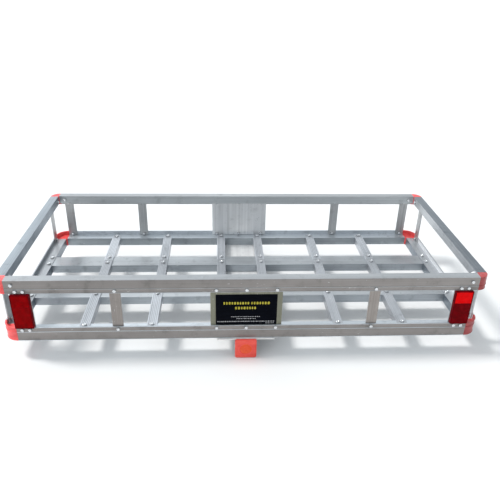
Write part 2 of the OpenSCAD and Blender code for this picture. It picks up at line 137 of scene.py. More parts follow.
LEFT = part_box("upper_rail_left")[0].x
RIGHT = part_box("upper_rail_right")[1].x
REAR = rear_lo.y
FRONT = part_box("upper_rail_front")[1].y
MID_Y = (REAR + FRONT) / 2
TOP = rear_hi.z
BOTTOM = foot_lo.z
UPPER_W = rear_hi.y - rear_lo.y
UPPER_FLANGE = rear_hi.z - rear_lo.z - UPPER_W
LOWER_W = foot_hi.y - foot_lo.y
LOWER_H = foot_hi.z - foot_lo.z - LOWER_FLANGE
DECK = BOTTOM + LOWER_H
UPPER_R = rear_lo.x - LEFT
LOWER_R = foot_lo.x - LEFT
FLANGE_IN = BEAD + FLANGE_T
LOWER_BOLT_Z = DECK + (LOWER_FLANGE - BEAD_H) / 2
UPPER_BOLT_Z = TOP - UPPER_W - (UPPER_FLANGE - BEAD_H) / 2


# ---------------------------------------- outlines
def rounded(points, radii, steps):
    """The closed outline with each corner turned into an arc of its own radius."""
    if not isinstance(radii, (list, tuple)):
        radii = [radii] * len(points)
    out = []
    count = len(points)
    for i, point in enumerate(points):
        here = Vector(point)
        back = Vector(points[i - 1]) - here
        on = Vector(points[(i + 1) % count]) - here
        radius = radii[i]
        if radius <= 0:
            out.append(here)
            continue
        half = back.angle(on) / 2
        reach = min(radius / math.tan(half), 0.45 * back.length, 0.45 * on.length)
        radius = reach * math.tan(half)
        centre = here + (back.normalized() + on.normalized()).normalized() * radius / math.sin(half)
        first = here + back.normalized() * reach - centre
        last = here + on.normalized() * reach - centre
        turn = first.angle_signed(last)
        for k in range(steps + 1):
            a = -turn * k / steps
            out.append(centre + Vector((first.x * math.cos(a) - first.y * math.sin(a),
                                        first.x * math.sin(a) + first.y * math.cos(a))))
    return out


def inset(outline, d):
    """The outline moved inwards by d, whichever way round it goes."""
    if d == 0:
        return list(outline)
    area = sum(a.x * b.y - b.x * a.y for a, b in zip(outline, outline[1:] + outline[:1]))
    side = d if area > 0 else -d
    out = []
    count = len(outline)
    for i, p in enumerate(outline):
        a = (p - outline[i - 1]).normalized()
        b = (outline[(i + 1) % count] - p).normalized()
        normal = Vector((-a.y - b.y, a.x + b.x))
        if normal.length < WELD:
            out.append(p)
            continue
        normal.normalize()
        spread = max(0.5, normal.dot(Vector((-a.y, a.x))))
        out.append(p + normal * side / spread)
    return out


def rectangle(x0, y0, x1, y1, r, steps=3):
    return rounded([(x0, y0), (x1, y0), (x1, y1), (x0, y1)], r, steps)


def box_outline(lo, hi, axes, r, steps=3, wall=0.0):
    """Outline of a box in the plane of two of its axes, moved in by a wall's thickness."""
    i, j = ("XYZ".index(axis) for axis in axes)
    return rectangle(lo[i] + wall, lo[j] + wall, hi[i] - wall, hi[j] - wall, r, steps)


def rail_outline(w, h, flange, foot):
    """Rail section with its bottom at 0: u inwards from the outer face, v up."""
    points = [(0 if foot else BEAD, 0), (w, 0), (w, h), (FLANGE_IN, h),
              (FLANGE_IN, h + flange), (0, h + flange), (0, h + flange - BEAD_H),
              (BEAD, h + flange - BEAD_H), (BEAD, h), (0, h), (0, h - BEAD_H),
              (BEAD, h - BEAD_H)]
    radii = [0.9, 0.9, 0.9, 0.6, 0.8, 0.5, 0.5, 0.25, 0.25, 0.5, 0.5, 0.25]
    if foot:
        points += [(BEAD, BEAD_H), (0, BEAD_H)]
        radii += [0.25, 0.5]
    return rounded(points, [r * MM for r in radii], 2)


def section(level):
    """A rail's outline in its place: u inwards from the outer face, v up."""
    if level == "upper":
        flipped = rail_outline(UPPER_W, UPPER_W, UPPER_FLANGE, False)
        return [Vector((p.x, TOP - p.y)) for p in reversed(flipped)]
    standing = rail_outline(LOWER_W, LOWER_H, LOWER_FLANGE, True)
    return [Vector((p.x, BOTTOM + p.y)) for p in standing]


def tube_inside(level):
    """The hollow of a rail's box tube, in its place."""
    width, z0, z1 = (UPPER_W, TOP - UPPER_W, TOP) if level == "upper" else (LOWER_W, BOTTOM, DECK)
    return rectangle(BEAD + RAIL_WALL, z0 + RAIL_WALL, width - RAIL_WALL, z1 - RAIL_WALL,
                     TUBE_INNER_R, 2)


# ---------------------------------------- meshes
def skin(bm, rings, material=0):
    """Joins closed rings that have the same number of points, and returns the first and last."""
    loops = [[bm.verts.new(p) for p in ring] for ring in rings]
    for near, far in zip(loops, loops[1:]):
        for i in range(len(near)):
            j = (i + 1) % len(near)
            bm.faces.new((near[i], near[j], far[j], far[i])).material_index = material
    return loops[0], loops[-1]


def close(bm, *loops, material=0):
    """Fills the flat end between one outer loop and any inner ones."""
    if len(loops) == 1:
        bm.faces.new(loops[0]).material_index = material
        return
    edges = []
    for loop in loops:
        for i in range(len(loop)):
            edges.append(bm.edges.get((loop[i - 1], loop[i])) or bm.edges.new((loop[i - 1], loop[i])))
    made = bmesh.ops.triangle_fill(bm, use_beauty=True, use_dissolve=False, edges=edges)
    for face in made["geom"]:
        if isinstance(face, bmesh.types.BMFace):
            face.material_index = material


def solid(bm, rings, material=0):
    """Closed solid through rings that have the same number of points."""
    for end in skin(bm, rings, material):
        close(bm, end, material=material)


def stations(a, b, r, steps):
    """Pairs of place and inset along a piece from a to b with rounded ends."""
    sign = 1 if b > a else -1
    ends = [(r * (1 - math.cos(t)), r * (1 - math.sin(t)))
            for t in (math.pi / 2 * k / steps for k in range(steps + 1))]
    first = [(a + sign * s, d) for s, d in ends]
    last = [(b - sign * s, d) for s, d in reversed(ends)]
    return first + last


def extrude(bm, outline, a, b, place, r=0.4 * MM, hollows=(), material=0, steps=2):
    """Solid from a to b with rounded end edges, and hollows right through it."""
    cuts = stations(a, b, r, steps) if r > 0 else [(a, 0), (b, 0)]
    rings = [[place(p.x, p.y, s) for p in inset(outline, d)] for s, d in cuts]
    first, last = skin(bm, rings, material)
    inner = [skin(bm, [[place(p.x, p.y, s) for p in hollow] for s in (a, b)], material)
             for hollow in hollows]
    close(bm, first, *[pair[0] for pair in inner], material=material)
    close(bm, last, *[pair[1] for pair in inner], material=material)


def on_side(side):
    """Places section points (u inwards, v up) at s along one side of the basket."""
    return {
        "rear": lambda u, v, s: Vector((s, REAR + u, v)),
        "front": lambda u, v, s: Vector((s, FRONT - u, v)),
        "left": lambda u, v, s: Vector((LEFT + u, s, v)),
        "right": lambda u, v, s: Vector((RIGHT - u, s, v)),
    }[side]


def across(u, v, s):
    """Places a section that lies in XZ at s along Y."""
    return Vector((u, s, v))


def lengthwise(u, v, s):
    """Places a section that lies in YZ at s along X."""
    return Vector((s, u, v))


def finish_piece(name, bm, materials, slot, *nodes, smooth=38):
    """Turns the mesh into a piece that stands in for CAD nodes, smooth up to an angle in degrees."""
    bmesh.ops.remove_doubles(bm, verts=bm.verts, dist=WELD)
    bmesh.ops.dissolve_degenerate(bm, dist=WELD, edges=bm.edges)
    bmesh.ops.recalc_face_normals(bm, faces=bm.faces)
    for face in bm.faces:
        face.smooth = True
    for edge in bm.edges:
        if len(edge.link_faces) == 2:
            edge.smooth = edge.calc_face_angle(0) < math.radians(smooth)
    mesh = bpy.data.meshes.new(name)
    bm.to_mesh(mesh)
    bm.free()
    for material in materials:
        mesh.materials.append(material)
    piece = bpy.data.objects.new(name, mesh)
    bpy.context.scene.collection.objects.link(piece)
    weighted = piece.modifiers.new("even_normals", "WEIGHTED_NORMAL")
    weighted.keep_sharp = True
    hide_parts(*nodes)
    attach(piece, "root")
    return piece


# ---------------------------------------- materials
class Graph:
    """Nodes of a material or world, whose inputs are numbers, colours or other nodes' outputs."""

    def __init__(self, owner, coordinates="Object"):
        self.owner = owner
        owner.use_nodes = True
        self.tree = owner.node_tree
        self.tree.nodes.clear()
        self.place = self.node("ShaderNodeTexCoord").outputs[coordinates]

    def node(self, kind, settings=None, **inputs):
        made = self.tree.nodes.new(kind)
        for key, value in (settings or {}).items():
            setattr(made, key, value)
        for key, value in inputs.items():
            self.feed(made.inputs[key.replace("_", " ")], value)
        return made

    def feed(self, socket, value):
        if isinstance(value, bpy.types.NodeSocket):
            self.tree.links.new(value, socket)
        elif socket.type == "RGBA":
            socket.default_value = (*value, 1.0)
        else:
            socket.default_value = value

    def math(self, kind, a, b=0.0, clamp=False):
        made = self.node("ShaderNodeMath", {"operation": kind, "use_clamp": clamp})
        self.feed(made.inputs[0], a)
        self.feed(made.inputs[1], b)
        return made.outputs[0]

    def noise(self, stretch, detail=2.0, rough=0.5, shift=0.0):
        """Noise with its own frequency along each axis, per metre."""
        mapped = self.node("ShaderNodeMapping", Vector=self.place, Scale=stretch,
                           Location=(shift, shift * 0.7, shift * 1.3)).outputs[0]
        return self.node("ShaderNodeTexNoise", Vector=mapped, Scale=1.0, Detail=detail,
                         Roughness=rough).outputs[0]

    def between(self, value, low, high, to_low=0.0, to_high=1.0):
        return self.node("ShaderNodeMapRange", Value=value, From_Min=low, From_Max=high,
                         To_Min=to_low, To_Max=to_high).outputs[0]

    def mix(self, factor, a, b):
        """Colour mix, through the node's sockets for colours."""
        made = self.node("ShaderNodeMix", {"data_type": "RGBA"})
        self.feed(made.inputs[0], factor)
        self.feed(made.inputs[6], a)
        self.feed(made.inputs[7], b)
        return made.outputs[2]

    def bump(self, height, strength, distance):
        return self.node("ShaderNodeBump", Height=height, Strength=strength,
                         Distance=distance).outputs[0]

    def surface(self, **inputs):
        shader = self.node("ShaderNodeBsdfPrincipled", **inputs)
        self.node("ShaderNodeOutputMaterial", Surface=shader.outputs[0])
        return self.owner


STAIN_DEPTH = 0.62
BRIGHT_SCRATCH = (0.93, 0.94, 0.95)
LENS_DUST = (0.5, 0.2, 0.18)
FILM_DUST = (0.4, 0.4, 0.4)
YELLOWED_ZINC = (0.50, 0.43, 0.32)


def along(axis, slow, fast):
    """Frequencies that are slow along one axis and fast across it."""
    return tuple(slow if i == "XYZ".index(axis) else fast for i in range(3))


def aluminium(name, axis, dark, light, rough=0.4, streak=0.5, patch=0.6, metal=0.85, lined=330):
    """Mill aluminium with die lines along an axis, tonal patches, handling marks and scratches."""
    g = Graph(bpy.data.materials.new(name))
    fine = g.noise(along(axis, 5, 1500), 2)
    lines = g.noise(along(axis, 1.3, lined), 3, 0.6, 3.1)
    patches = g.noise(along(axis, 3.2, 9), 3, 0.55, 7.7)
    smudge = g.noise((34, 34, 34), 4, 0.62, 1.9)
    marks = g.noise(along(axis, 60, 260), 2, 0.7, 5.3)
    tone = g.math("ADD", g.math("MULTIPLY", g.between(lines, 0.32, 0.68), streak),
                  g.math("MULTIPLY", g.between(patches, 0.36, 0.64), patch))
    tone = g.math("ADD", tone, g.math("MULTIPLY", g.between(fine, 0.3, 0.7), 1.15 - streak - patch),
                  True)
    colour = g.mix(tone, dark, light)
    stain = [c * STAIN_DEPTH for c in dark]
    colour = g.mix(g.between(smudge, 0.56, 0.72, 0.0, 0.35), colour, stain)
    colour = g.mix(g.between(marks, 0.70, 0.76, 0.0, 0.55), colour, BRIGHT_SCRATCH)
    gloss = g.math("ADD", g.between(smudge, 0.3, 0.75, rough - 0.07, rough + 0.10),
                   g.between(fine, 0.3, 0.7, -0.05, 0.05))
    height = g.math("ADD", g.math("MULTIPLY", fine, 0.35), lines)
    normal = g.bump(height, 0.28, 0.00025)
    return g.surface(Base_Color=colour, Metallic=metal, Roughness=gloss, Normal=normal)


def corner_plastic(name, dark, light, rough=0.36):
    """Moulded red plastic, a little translucent, with fine grain, flow marks and scuffs."""
    g = Graph(bpy.data.materials.new(name))
    grain = g.noise((900, 900, 900), 2)
    flow = g.noise((28, 28, 60), 3, 0.6, 2.2)
    scuffs = g.noise((260, 90, 420), 3, 0.7, 4.4)
    colour = g.mix(g.between(flow, 0.34, 0.66), dark, light)
    pale = [min(1.0, c * 0.6 + 0.3) for c in light]
    colour = g.mix(g.between(scuffs, 0.62, 0.74, 0.0, 0.5), colour, pale)
    gloss = g.between(scuffs, 0.3, 0.7, rough - 0.08, rough + 0.14)
    normal = g.bump(grain, 0.22, 0.0002)
    return g.surface(Base_Color=colour, Roughness=gloss, Normal=normal, Specular_IOR_Level=0.35,
                     Subsurface_Weight=0.25, Subsurface_Radius=(0.012, 0.003, 0.002))


def reflector_lens(name, dark, light):
    """Clear red plastic over prisms: even, deep and smooth, with a little dust."""
    g = Graph(bpy.data.materials.new(name))
    clouds = g.noise((70, 70, 70), 3, 0.6)
    dust = g.noise((600, 600, 600), 2, 0.7, 3.0)
    colour = g.mix(g.between(clouds, 0.35, 0.65), dark, light)
    colour = g.mix(g.between(dust, 0.68, 0.82, 0.0, 0.08), colour, LENS_DUST)
    gloss = g.between(dust, 0.3, 0.8, 0.14, 0.30)
    return g.surface(Base_Color=colour, Roughness=gloss, Specular_IOR_Level=0.02,
                     Normal=g.bump(clouds, 0.1, 0.0003))


def print_film(name, dark, light):
    """Printed film: label ground and ink, with a faint weave of dust and fine rub marks."""
    g = Graph(bpy.data.materials.new(name))
    dust = g.noise((500, 500, 500), 3, 0.7)
    rubs = g.noise((30, 30, 380), 3, 0.6, 2.0)
    colour = g.mix(g.between(rubs, 0.38, 0.66), dark, light)
    colour = g.mix(g.between(dust, 0.68, 0.82, 0.0, 0.03), colour, FILM_DUST)
    gloss = g.between(rubs, 0.3, 0.7, 0.24, 0.44)
    return g.surface(Base_Color=colour, Roughness=gloss, Specular_IOR_Level=0.02,
                     Normal=g.bump(dust, 0.12, 0.0001))


def zinc(name, dark, light, shine):
    """Zinc-plated steel of the fasteners: bluish silver, patchy, with machining marks."""
    g = Graph(bpy.data.materials.new(name))
    patches = g.noise((420, 420, 420), 3, 0.6)
    turning = g.noise((2200, 2200, 2200), 2, 0.5, 3.3)
    colour = g.mix(g.between(patches, 0.35, 0.65), dark, light)
    colour = g.mix(g.between(patches, 0.62, 0.75, 0.0, 0.3), colour, YELLOWED_ZINC)
    gloss = g.between(patches, 0.3, 0.7, shine, shine + 0.16)
    return g.surface(Base_Color=colour, Metallic=0.8, Roughness=gloss,
                     Normal=g.bump(turning, 0.15, 0.0001))


# darker, warmer tones of the rail aluminium for the outward faces: painted shade
SHADE_OUTER_DARK, SHADE_OUTER_LIGHT = (0.235, 0.220, 0.212), (0.315, 0.294, 0.284)
rail_x = aluminium("rail_along_x", "X", (0.37, 0.38, 0.395), (0.55, 0.565, 0.58))
rail_y = aluminium("rail_along_y", "Y", (0.30, 0.33, 0.36), (0.46, 0.50, 0.54))
# lighter copy for the long lower rails and their flanges' inner faces: painted light
lit_low_x = aluminium("painted_light_low_rail_along_x", "X", (0.49, 0.525, 0.56), (0.72, 0.76, 0.80))
# outward faces of the rails: painted shade
shade_outer_x = aluminium("painted_shade_outer_along_x", "X", SHADE_OUTER_DARK, SHADE_OUTER_LIGHT, 0.46)
shade_outer_y = aluminium("painted_shade_outer_along_y", "Y", SHADE_OUTER_DARK, SHADE_OUTER_LIGHT, 0.46)
# darker, bluish copies for the rails' inner faces: painted shade
shade_inner_x = aluminium("inner_face_along_x", "X", (0.255, 0.28, 0.305), (0.41, 0.45, 0.48))
shade_inner_y = aluminium("inner_face_along_y", "Y", (0.22, 0.25, 0.29), (0.36, 0.405, 0.45))
# lighter copy for inner faces and the lower side rails: painted light
lit_inner_y = aluminium("painted_light_inner_along_y", "Y", (0.42, 0.43, 0.45), (0.62, 0.64, 0.66))
# darker copy for the upper right rail: painted shade
shade_rail_y = aluminium("painted_shade_rail_along_y", "Y", (0.205, 0.225, 0.25), (0.315, 0.34, 0.37))
# near-white copy for the right lower flange's inner face: painted light, a painted reflection of the
# lit rail top
lit_flange_y = aluminium("bright_flange_along_y", "Y", (0.88, 0.885, 0.90), (0.97, 0.97, 0.98), 0.36,
                     0.5, 0.6, 0.7)
# lighter copy for the upper long rails' inner faces: painted light
lit_inner_x = aluminium("painted_light_inner_along_x", "X", (0.40, 0.425, 0.44), (0.60, 0.63, 0.65))
beam_x = aluminium("beam_along_x", "X", (0.38, 0.40, 0.42), (0.62, 0.64, 0.66), 0.36)
# darker copy for the beams' rear and front faces: painted shade
shade_beam_side_x = aluminium("painted_shade_beam_side_along_x", "X", (0.285, 0.31, 0.34), (0.46, 0.50, 0.535))
slat_y = aluminium("slat_along_y", "Y", (0.48, 0.50, 0.53), (0.73, 0.75, 0.79), 0.42)
# darker copy for slats under the upper rail: painted shade
shade_slat_y = aluminium("painted_shade_slat_along_y", "Y", (0.375, 0.39, 0.413), (0.57, 0.585, 0.615),
                        0.42)
# darker copy for the faces in the slats' grooves: painted shade in the recesses
shade_groove_y = aluminium("painted_shade_groove_along_y", "Y", (0.32, 0.33, 0.35), (0.50, 0.515, 0.54), 0.55)
strip_z = aluminium("upright_along_z", "Z", (0.38, 0.39, 0.395), (0.60, 0.61, 0.615), 0.40,
                    0.65, 0.3)
# darker, warmer copy for the rear uprights' outward faces: painted shade
shade_strip_z = aluminium("painted_shade_strip_along_z", "Z", (0.245, 0.223, 0.212), (0.37, 0.335, 0.312),
                        0.44, 0.65, 0.3)
# lighter copy for the front plate: painted light, a painted reflection of the lit deck and sky
lit_plate_z = aluminium("painted_light_plate_along_z", "Z", (0.66, 0.67, 0.68), (0.93, 0.94, 0.95), 0.36,
                    0.8, 0.25, 0.7, 110)
# olive tint is the sign's own; its darkness is painted shade like the other outward faces
shade_sign_z = aluminium("olive_sign_painted_shade_along_z", "Z", (0.155, 0.155, 0.115), (0.26, 0.26, 0.205), 0.42,
                   0.5, 0.4)
mount_y = aluminium("mount_along_y", "Y", (0.67, 0.665, 0.66), (0.85, 0.845, 0.84), 0.36,
                    0.8, 0.3, 0.35, 110)
tube_y = aluminium("tube_along_y", "Y", (0.34, 0.35, 0.36), (0.56, 0.57, 0.58), 0.42)
tongue_x = aluminium("tongue_along_x", "X", (0.42, 0.42, 0.43), (0.62, 0.62, 0.63), 0.5)
red_corner = corner_plastic("corner_red", (0.80, 0.075, 0.075), (0.98, 0.15, 0.15))
# darker copy of the corner red: painted shade
shade_red = corner_plastic("corner_painted_shade_red", (0.315, 0.04, 0.04), (0.44, 0.085, 0.085))
red_cap = corner_plastic("cap_red", (0.86, 0.075, 0.055), (0.98, 0.12, 0.09))
orange_cap = corner_plastic("cap_centre", (0.86, 0.075, 0.02), (0.95, 0.12, 0.03), 0.28)
# copies of one red lens: a lit one, a shaded one and an even darker one, as painted light and shade
lens_bright = reflector_lens("lens_bright", (0.74, 0.002, 0.003), (0.88, 0.006, 0.008))
lens_dark = reflector_lens("lens_dark", (0.12, 0.0005, 0.002), (0.20, 0.001, 0.004))
painted_shade_even_lens = reflector_lens("painted_shade_even_lens", (0.21, 0.0003, 0.001), (0.32, 0.0006, 0.002))
lens_shell = reflector_lens("reflector_shell", (0.09, 0.001, 0.004), (0.17, 0.003, 0.007))
label_ground = print_film("label_ground", (0.0015, 0.002, 0.004), (0.004, 0.005, 0.009))
ink_yellow = print_film("ink_yellow", (0.42, 0.36, 0.04), (0.62, 0.54, 0.08))
ink_white = print_film("ink_white", (0.42, 0.42, 0.44), (0.62, 0.62, 0.62))
fastener = zinc("zinc_plated", (0.55, 0.57, 0.59), (0.86, 0.87, 0.88), 0.16)
# darker copy for the washer faces round heads and nuts: painted shade
shade_zinc = zinc("zinc_painted_shade", (0.16, 0.165, 0.17), (0.30, 0.31, 0.32), 0.40)


# ---------------------------------------- rails, corners and beams
OUTWARDS = {"rear": (0, -1, 0), "front": (0, 1, 0), "left": (-1, 0, 0), "right": (1, 0, 0)}
INWARDS = {"rear": (0, 1, 0), "front": (0, -1, 0), "left": (1, 0, 0), "right": (-1, 0, 0)}
DOWN = (0, 0, -1)
LONG_SIDES = ("rear", "front")

# each rail's materials, tones of one aluminium: base, outer face, inner face, and the flange's inner
# face; the shade copies carry painted shade and the lit copies painted light
RAIL_LIT_AND_SHADED = {
    "upper_rail_rear": (rail_x, shade_outer_x, lit_inner_x, rail_x),
    "upper_rail_front": (rail_x, shade_outer_x, lit_inner_x, rail_x),
    "upper_rail_left": (rail_y, shade_outer_y, shade_inner_y, rail_y),
    "upper_rail_right": (shade_rail_y, shade_outer_y, lit_inner_y, lit_inner_y),
    "lower_rail_rear": (lit_low_x, shade_outer_x, shade_inner_x, lit_low_x),
    "lower_rail_front": (lit_low_x, shade_outer_x, shade_inner_x, lit_low_x),
    "lower_rail_left": (lit_inner_y, shade_outer_y, shade_inner_y, rail_y),
    "lower_rail_right": (lit_inner_y, shade_outer_y, shade_inner_y, lit_flange_y),
}


def paint_light_and_shade_on(bm, direction, plane, material):
    """Gives the faces that lie in one plane and look in one direction their own material, which
    carries painted light or shade.
    """
    bmesh.ops.recalc_face_normals(bm, faces=bm.faces)
    out = Vector(direction)
    for face in bm.faces:
        off = (face.calc_center_median() - plane).dot(out)
        if face.normal.dot(out) > 0.9 and abs(off) < FLAT_WITHIN:
            face.material_index = material


def rail(level, side):
    node = f"{level}_rail_{side}"
    lo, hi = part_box(node)
    a, b = (lo.x, hi.x) if side in LONG_SIDES else (lo.y, hi.y)
    bm = bmesh.new()
    extrude(bm, section(level), a, b, on_side(side), TUBE_EDGE, [tube_inside(level)])
    width = UPPER_W if level == "upper" else LOWER_W
    # the outer face, inner face and flange's inner face take the rail's lit and shaded copies:
    # painted light and shade
    paint_light_and_shade_on(bm, OUTWARDS[side], on_side(side)(BEAD, 0, 0), 1)
    paint_light_and_shade_on(bm, INWARDS[side], on_side(side)(width, 0, 0), 2)
    paint_light_and_shade_on(bm, INWARDS[side], on_side(side)(FLANGE_IN, 0, 0), 3)
    finish_piece(f"{node}_extrusion", bm, RAIL_LIT_AND_SHADED[node], "rail_aluminium", node)


def corner(level, end, side):
    """Moulded corner: the rail section swept through a quarter turn, with two tongues."""
    node = f"{level}_corner_{end}_{side}"
    sx = 1 if side == "right" else -1
    sy = 1 if end == "front" else -1
    r = UPPER_R if level == "upper" else LOWER_R
    outline = section(level)
    centre = Vector(((RIGHT if sx > 0 else LEFT) - sx * r, (FRONT if sy > 0 else REAR) - sy * r, 0))

    def turned(u, v, a):
        reach = r - u
        return centre + Vector((sx * reach * math.cos(a), sy * reach * math.sin(a), v))

    bm = bmesh.new()
    quarter = math.pi / 2
    shave = TUBE_EDGE / r
    turns = [(0, TUBE_EDGE), (shave, 0)]
    turns += [(quarter * k / CORNER_STEPS, 0) for k in range(1, CORNER_STEPS)]
    turns += [(quarter - shave, 0), (quarter, TUBE_EDGE)]
    solid(bm, [[turned(p.x, p.y, a) for p in inset(outline, d)] for a, d in turns])
    core = inset(tube_inside(level), TONGUE_GAP)
    lo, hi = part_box(node)
    extrude(bm, core, centre.x, lo.x if sx > 0 else hi.x, on_side(end), TONGUE_EDGE)
    extrude(bm, core, centre.y, lo.y if sy > 0 else hi.y, on_side(side), TONGUE_EDGE)
    # the rear right corners get the darker red copy: painted shade
    corner_material = shade_red if (end, side) == ("rear", "right") else red_corner
    finish_piece(f"{node}_moulding", bm, [corner_material], "corner_plastic", node)


def deck_beam(end):
    node = f"deck_beam_{end}"
    lo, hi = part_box(node)
    bm = bmesh.new()
    hollow = box_outline(lo, hi, "YZ", TUBE_INNER_R, 2, RAIL_WALL)
    extrude(bm, box_outline(lo, hi, "YZ", MM), lo.x, hi.x, lengthwise, TUBE_EDGE, [hollow])
    # the beams' rear and front faces get the darker copy: painted shade
    paint_light_and_shade_on(bm, OUTWARDS["rear"], lo, 1)
    paint_light_and_shade_on(bm, OUTWARDS["front"], hi, 1)
    finish_piece(f"{node}_extrusion", bm, [beam_x, shade_beam_side_x], "beam_aluminium", node)


# ---------------------------------------- slats
def slat_outline(width, foot, top):
    """Channel open below, with grooves along its top, from its left foot clockwise."""
    half = width / 2
    under = top - SLAT_TOP_T
    points = [(-half, foot), (-half, top)]
    radii = [0.4, 0.8]
    for i in range(GROOVES):
        x = (i - (GROOVES - 1) / 2) * GROOVE_PITCH
        points += [(x - GROOVE_W / 2, top), (x - GROOVE_W / 4, top - GROOVE_D),
                   (x + GROOVE_W / 4, top - GROOVE_D), (x + GROOVE_W / 2, top)]
        radii += [0.25, 0.2, 0.2, 0.25]
    points += [(half, top), (half, foot), (half - SLAT_WALL, foot), (half - SLAT_WALL, under),
               (-half + SLAT_WALL, under), (-half + SLAT_WALL, foot)]
    radii += [0.8, 0.4, 0.3, 0.3, 0.3, 0.3]
    return rounded(points, [r * MM for r in radii], 2)


def slat_tabs(bay):
    """How far a slat of this bay lies on its two seats, the rear one first."""
    return (SLAT_TAB if bay == "rear" else BEAM_TAB, SLAT_TAB if bay == "front" else BEAM_TAB)


def slat(bay, line):
    """Slat between two seats. Its skirts stop where its ends lie on a rail or beam."""
    node = f"slat_{bay}_{line}"
    lo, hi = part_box(node)
    x = (lo.x + hi.x) / 2
    outline = slat_outline(hi.x - lo.x, lo.z, hi.z)
    beam_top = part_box("deck_beam_rear")[1].z
    seats = (DECK if bay == "rear" else beam_top, DECK if bay == "front" else beam_top)
    tabs = slat_tabs(bay)

    def ring(y, seat, d=0.0):
        return [Vector((x + p.x, y, max(p.y, seat))) for p in inset(outline, d)]

    bm = bmesh.new()
    whole = lo.z - MM
    solid(bm, [
        ring(lo.y, seats[0], SLAT_EDGE), ring(lo.y + SLAT_EDGE, seats[0]),
        ring(lo.y + tabs[0], seats[0]), ring(lo.y + tabs[0] + SLAT_COPE, whole),
        ring(hi.y - tabs[1] - SLAT_COPE, whole), ring(hi.y - tabs[1], seats[1]),
        ring(hi.y - SLAT_EDGE, seats[1]), ring(hi.y, seats[1], SLAT_EDGE)])
    # faces inside the grooves get the darker copy: painted shade
    for face in bm.faces:
        centre = face.calc_center_median()
        deep = GROOVE_D * 0.25 < hi.z - centre.z < GROOVE_D * 1.3
        if deep and abs(centre.x - x) < GROOVED_HALF:
            face.material_index = 1
    # the middle bay's slats and the rear bay's right-hand slats get the darker copy: painted shade
    in_painted_shade = bay == "mid" or (bay == "rear" and line.startswith("r"))
    finish_piece(f"{node}_channel", bm, [shade_slat_y if in_painted_shade else slat_y, shade_groove_y],
                 "slat_aluminium", node)


# ---------------------------------------- uprights and plates
def sheet(lo, hi, r):
    """Sheet that stands across Y, from corner lo to corner hi, in a new mesh."""
    bm = bmesh.new()
    extrude(bm, box_outline(lo, hi, "XZ", r), lo.y, hi.y, across, SHEET_EDGE, steps=3)
    return bm


def upright(node):
    """Strip cut from flat bar, with eased edges."""
    lo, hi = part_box(node)
    side = node.split("_")[1]
    if side in LONG_SIDES:
        bm = sheet(lo, hi, STRIP_R)
    else:
        bm = bmesh.new()
        outline = box_outline(lo, hi, "YZ", STRIP_R)
        extrude(bm, outline, lo.x, hi.x, lengthwise, SHEET_EDGE, steps=3)
    # the rear uprights' outward faces get the darker copy: painted shade
    if side == "rear":
        paint_light_and_shade_on(bm, OUTWARDS["rear"], lo, 1)
    finish_piece(f"{node}_strip", bm, [strip_z, shade_strip_z], "upright_aluminium", node)


def reflector_plate(side):
    node = f"reflector_plate_{side}"
    finish_piece(f"{node}_sheet", sheet(*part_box(node), SHEET_R), [strip_z], "plate_aluminium", node)


def front_plate():
    lo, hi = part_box("front_plate")
    bm = sheet(lo, hi, SHEET_R)
    # all but the outward face get the lighter plate copy: painted light
    paint_light_and_shade_on(bm, OUTWARDS["front"], hi, 1)
    finish_piece("front_plate_sheet", bm, [lit_plate_z, strip_z], "plate_aluminium", "front_plate")


def sign_plate():
    """Rear plate with a raised rib down each side of the label."""
    lo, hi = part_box("sign_plate")
    label_lo, label_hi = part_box("sign_label")
    face = REAR + FLANGE_IN
    bm = sheet(Vector((lo.x, face, lo.z)), hi, SHEET_R)
    # the outward face and the ribs get the dark olive copy: own tint with painted shade
    paint_light_and_shade_on(bm, OUTWARDS["rear"], Vector((0, face, 0)), 1)
    z0 = DECK + LOWER_FLANGE + MM
    z1 = TOP - UPPER_W - UPPER_FLANGE - MM
    rib_w, rib_h, sunk = 3 * MM, 1.6 * MM, 0.1 * MM
    rib = rectangle(0, 0, rib_w, rib_h, 0.6 * MM)
    for x in (label_lo.x - rib_w - MM, label_hi.x + MM):
        extrude(bm, rib, z0, z1, lambda u, v, s, x=x: Vector((x + u, face + sunk - v, s)), material=1)
    finish_piece("sign_plate_sheet", bm, [strip_z, shade_sign_z], "plate_aluminium", "sign_plate")


def sign_label():
    """Dark film with plain dashes of uneven length where the print would be."""
    lo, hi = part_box("sign_label")
    bm = bmesh.new()
    ground = lo.y + LABEL_FILM
    w, h = hi.x - lo.x, hi.z - lo.z
    film = box_outline(lo, hi, "XZ", 2 * MM)
    extrude(bm, film, hi.y, ground, across, 0.1 * MM, steps=1)
    sunk = 0.02 * MM
    for level, share, spans, (narrow, wide), gap, ink in LABEL_LINES:
        z, height = lo.z + level * h, share * h
        for start, end in spans:
            x = lo.x + start * w
            width = rng.uniform(narrow, wide) * MM
            while x + width <= lo.x + end * w:
                dash = rectangle(x, z - height / 2, x + width, z + height / 2, 0.2 * height, 2)
                extrude(bm, dash, ground + sunk, lo.y, across, 0.03 * MM, material=ink, steps=1)
                x += width + gap * MM
                width = rng.uniform(narrow, wide) * MM
    finish_piece("sign_label_film", bm, [label_ground, ink_yellow, ink_white], "label_black",
                 "sign_label")


